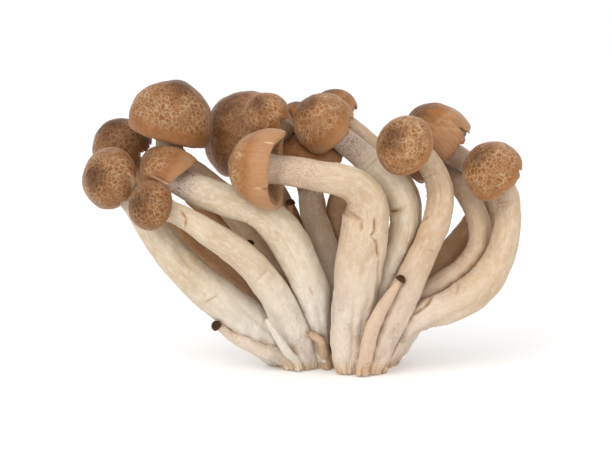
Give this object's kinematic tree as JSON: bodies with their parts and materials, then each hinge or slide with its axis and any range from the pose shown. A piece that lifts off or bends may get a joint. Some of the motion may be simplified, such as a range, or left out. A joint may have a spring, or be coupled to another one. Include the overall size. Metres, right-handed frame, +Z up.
{
  "type": "beech mushroom cluster",
  "caption": "Fanned bunch of beech mushrooms standing on their joined, cut foot, with curved pale stems and domed brown caps.",
  "frame": {"origin": "middle of the flat cut under the joined foot, on the surface that the cluster stands on", "axes": "+Z up, +X to the right along the fan of stems with the arched mushroom nearest the viewer, -Y is the front"},
  "size_m": [0.1294, 0.0698, 0.0869],
  "materials": {
    "stem": "satin",
    "cap": "satin",
    "foot": "matte",
    "pin": "matte",
    "pin_cap": "satin"
  },
  "bodies": {
    "root": {"cap_back_left": "cap", "cap_back_low": "cap", "cap_back_right": "cap", "cap_big_rear": "cap", "cap_centre_low": "cap", "cap_centre_rear": "cap", "cap_centre_top": "cap", "cap_front_arched": "cap", "cap_left_long": "cap", "cap_left_outer": "cap", "cap_left_rear": "cap", "cap_left_small": "cap", "cap_left_tall": "cap", "cap_pin_dark_gap": "pin_cap", "cap_pin_dark_rear": "pin_cap", "cap_pin_left_edge": "pin_cap", "cap_pin_right_gap": "pin_cap", "cap_rear_mid": "cap", "cap_right_broad": "cap", "cap_right_front": "cap", "cap_right_outer": "cap", "cap_right_rear": "cap", "cap_right_tucked": "cap", "cap_top_small": "cap", "joined_foot": "foot", "pin_dark_gap": "pin", "pin_dark_rear": "pin", "pin_folded": "pin", "pin_left_edge": "pin", "pin_pale": "pin", "pin_right_gap": "pin", "pin_sliver": "pin", "stem_back_left": "stem", "stem_back_low": "stem", "stem_back_right": "stem", "stem_big_rear": "stem", "stem_centre_low": "stem", "stem_centre_rear": "stem", "stem_centre_top": "stem", "stem_front_arched": "stem", "stem_left_long": "stem", "stem_left_outer": "stem", "stem_left_rear": "stem", "stem_left_small": "stem", "stem_left_tall": "stem", "stem_rear_mid": "stem", "stem_right_broad": "stem", "stem_right_front": "stem", "stem_right_outer": "stem", "stem_right_rear": "stem", "stem_right_tucked": "stem", "stem_top_small": "stem", "stub_behind_arch": "pin", "stub_dark_left": "pin", "stub_right_foot": "pin"}
  },
  "joints": []
}
